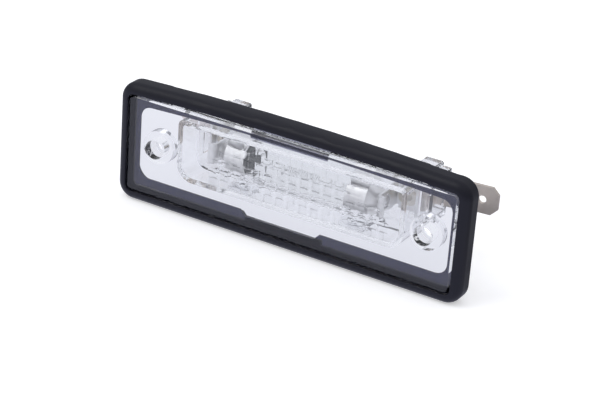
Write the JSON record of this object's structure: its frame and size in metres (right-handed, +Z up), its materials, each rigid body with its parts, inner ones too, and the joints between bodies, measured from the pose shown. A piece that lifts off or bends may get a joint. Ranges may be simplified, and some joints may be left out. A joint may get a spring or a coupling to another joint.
{
  "type": "number plate lamp",
  "caption": "Number plate lamp: clear moulded lens in a black rubber frame, with a festoon bulb in a clear carrier and blade terminals behind.",
  "frame": {"origin": "midway between the two screw holes, on the plane that the screw bosses and the frame's back stand on", "axes": "+X along the lamp's long side, -Y out of the lens towards the viewer, +Z up"},
  "size_m": [0.0852, 0.0224, 0.0285],
  "materials": {
    "rubber": "matt",
    "clear_plastic": "polished",
    "bulb_glass": "polished",
    "spring_metal": "tinned",
    "terminal_metal": "tinned",
    "rivet_metal": "plated",
    "cap_metal": "satin",
    "cement": "matt",
    "solder": "satin",
    "wire": "drawn"
  },
  "bodies": {
    "root": {"rubber_frame": "rubber", "lens": "clear_plastic", "bulb_carrier": "clear_plastic", "contact_spring_left": "spring_metal", "contact_spring_right": "spring_metal", "blade_terminal_left": "terminal_metal", "blade_terminal_right": "terminal_metal", "rivets": "rivet_metal", "bulb_glass": "bulb_glass", "bulb_cap_left": "cap_metal", "bulb_cap_right": "cap_metal", "cap_cement_left": "cement", "cap_cement_right": "cement", "solder_tip_left": "solder", "solder_tip_right": "solder", "lead_wire_left": "wire", "lead_wire_right": "wire", "filament": "wire"}
  },
  "joints": []
}
